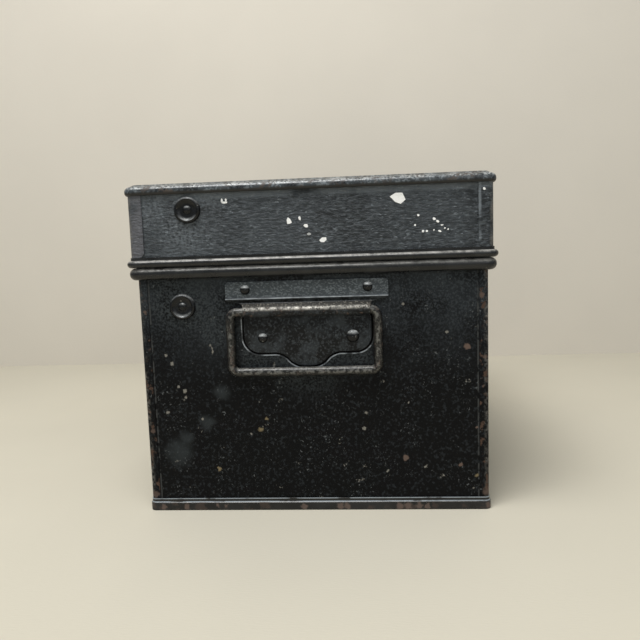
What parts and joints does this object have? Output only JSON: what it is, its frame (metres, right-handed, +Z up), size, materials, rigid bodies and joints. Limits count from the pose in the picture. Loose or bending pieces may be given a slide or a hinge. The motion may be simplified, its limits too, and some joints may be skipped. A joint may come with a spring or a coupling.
{
  "type": "deed box",
  "caption": "Japanned sheet-metal box with a deep hinged lid, a drop handle at each end, slotted lid stays and a box lock.",
  "frame": {"origin": "on the resting plane, under the middle of the box", "axes": "+X along the box, +Y towards the hinged back, +Z up"},
  "size_m": [0.3644, 0.2624, 0.2396],
  "materials": {
    "black_japan": "worn black stoving japan, satin",
    "worn_wire": "black japan rubbed through to dark steel",
    "bare_steel": "dull bare steel",
    "brass_fitting": "tarnished brass"
  },
  "bodies": {
    "box": {"body_front_panel": "black_japan", "body_back_panel": "black_japan", "body_base": "black_japan", "body_rim": "black_japan", "body_end_panel_left": "black_japan", "body_end_panel_right": "black_japan", "handle_plate_left": "black_japan", "handle_plate_right": "black_japan", "handle_rivets_left": "black_japan", "handle_rivets_right": "black_japan", "hinge_strap_left": "black_japan", "hinge_strap_middle": "black_japan", "hinge_strap_right": "black_japan", "hinge_rivets": "black_japan", "stay_body_stud_left": "black_japan", "stay_body_stud_right": "black_japan", "stay_body_washer_left": "black_japan", "stay_body_washer_right": "black_japan", "lock_case": "bare_steel", "lock_cap": "bare_steel", "lock_spring": "bare_steel", "lock_rivets": "black_japan", "keyhole_escutcheon": "brass_fitting", "escutcheon_pins": "brass_fitting"},
    "lid": {"lid_top": "black_japan", "lid_front_wall": "black_japan", "lid_back_wall": "black_japan", "lid_hem": "black_japan", "lid_wire": "bare_steel", "lid_end_panel_left": "black_japan", "lid_end_panel_right": "black_japan", "stay_lid_stud_left": "black_japan", "stay_lid_stud_right": "black_japan", "stay_lid_washer_left": "black_japan", "stay_lid_washer_right": "black_japan", "lock_link": "bare_steel", "link_rivets": "black_japan"},
    "bail_left": {"bail_left": "worn_wire"},
    "bail_right": {"bail_right": "worn_wire"},
    "stay_left": {"stay_arm_left": "bare_steel"},
    "stay_right": {"stay_arm_right": "bare_steel"},
    "lock_bolt": {"lock_bolt": "bare_steel"}
  },
  "joints": [
    {"name": "lid_hinge", "type": "hinge", "parent": "box", "child": "lid", "pos_m": [0, 0.12865, 0.1837], "axis": [-1, 0, 0], "range_deg": [0, 68]},
    {"name": "bail_left_swing", "type": "hinge", "parent": "box", "child": "bail_left", "pos_m": [-0.178, 0.0054, 0.1474], "axis": [0, 1, 0], "range_deg": [0, 165]},
    {"name": "bail_right_swing", "type": "hinge", "parent": "box", "child": "bail_right", "pos_m": [0.178, 0.0054, 0.1474], "axis": [0, -1, 0], "range_deg": [0, 165]},
    {"name": "stay_left_pivot", "type": "hinge", "parent": "lid", "child": "stay_left", "pos_m": [-0.1711, 0.08435, 0.2207], "axis": [1, 0, 0], "range_deg": [0, 29.1]},
    {"name": "stay_right_pivot", "type": "hinge", "parent": "lid", "child": "stay_right", "pos_m": [0.1711, 0.08435, 0.2207], "axis": [1, 0, 0], "range_deg": [0, 29.1]},
    {"name": "bolt_slide", "type": "slide", "parent": "box", "child": "lock_bolt", "axis": [1, 0, 0], "range_m": [0, 0.008]}
  ],
  "couplings": [
    {"joint": "stay_left_pivot", "follows": "lid_hinge", "ratio": 0.4255},
    {"joint": "stay_right_pivot", "follows": "lid_hinge", "ratio": 0.4255}
  ]
}
